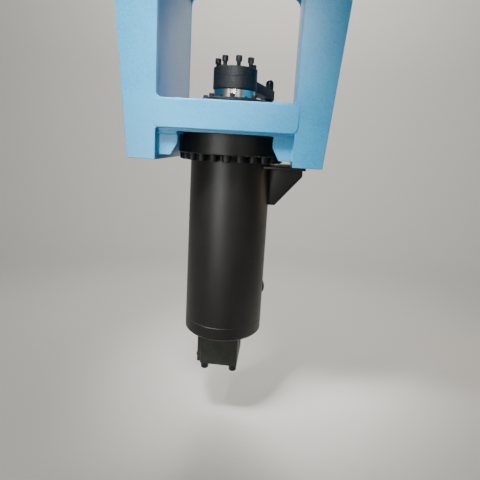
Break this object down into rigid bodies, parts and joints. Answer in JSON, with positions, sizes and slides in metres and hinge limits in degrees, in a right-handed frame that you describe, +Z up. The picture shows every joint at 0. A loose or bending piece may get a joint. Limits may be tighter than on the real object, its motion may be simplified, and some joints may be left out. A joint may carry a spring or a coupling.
{
  "type": "vertical injection unit of a die casting machine",
  "caption": "Hanging welded frame that carries an upright hydraulic shot cylinder, with a flange, rod coupling, stroke arm and manifold block.",
  "frame": {"origin": "centre of the head plate's top face, on the axis of the shot cylinder", "axes": "+X to the right of the pictured side, +Y to the rear, +Z up along the rod"},
  "size_m": [1.23, 0.74, 2.162],
  "materials": {
    "frame_paint": "light blue semi-gloss paint with a fine orange-peel texture",
    "cylinder_paint": "satin black paint",
    "black_oxide": "black oxide steel",
    "rod_chrome": "ground hard chrome",
    "bare_steel": "machined steel",
    "block_steel": "phosphated dark grey green steel"
  },
  "bodies": {
    "base": {"front_plate": "frame_paint", "rear_plate": "frame_paint", "left_inner_web": "frame_paint", "right_inner_web": "frame_paint", "left_outer_web": "frame_paint", "right_outer_web": "frame_paint", "left_foot_plate": "frame_paint", "right_foot_plate": "frame_paint", "front_beam_pad": "frame_paint", "rear_beam_pad": "frame_paint", "head_plate": "frame_paint", "table_plate": "frame_paint", "left_table_bar": "frame_paint", "right_table_bar": "frame_paint", "left_table_rib": "frame_paint", "right_table_rib": "frame_paint", "front_left_gusset": "frame_paint", "front_right_gusset": "frame_paint", "rear_left_gusset": "frame_paint", "rear_right_gusset": "frame_paint", "cylinder_flange": "cylinder_paint", "cylinder_tube": "cylinder_paint", "end_cap": "cylinder_paint", "gland_ring": "black_oxide", "gland_screws": "black_oxide", "flange_screws": "black_oxide", "plain_washers": "black_oxide", "manifold_block": "block_steel", "manifold_screws": "black_oxide", "port_plate": "block_steel", "port_screws": "black_oxide", "port_boss": "cylinder_paint", "bracket_plate": "cylinder_paint", "bracket_webs": "cylinder_paint", "guide_bush": "bare_steel"},
    "rod": {"piston": "bare_steel", "piston_rod": "rod_chrome", "lower_coupling_ring": "black_oxide", "upper_coupling_ring": "black_oxide", "coupling_screws": "black_oxide", "stroke_arm": "black_oxide", "stroke_rod": "bare_steel", "domed_nut": "black_oxide", "lock_nut": "black_oxide"}
  },
  "joints": [
    {"name": "rod_slide", "type": "slide", "parent": "base", "child": "rod", "axis": [0, 0, 1], "range_m": [0, 0.45]}
  ]
}
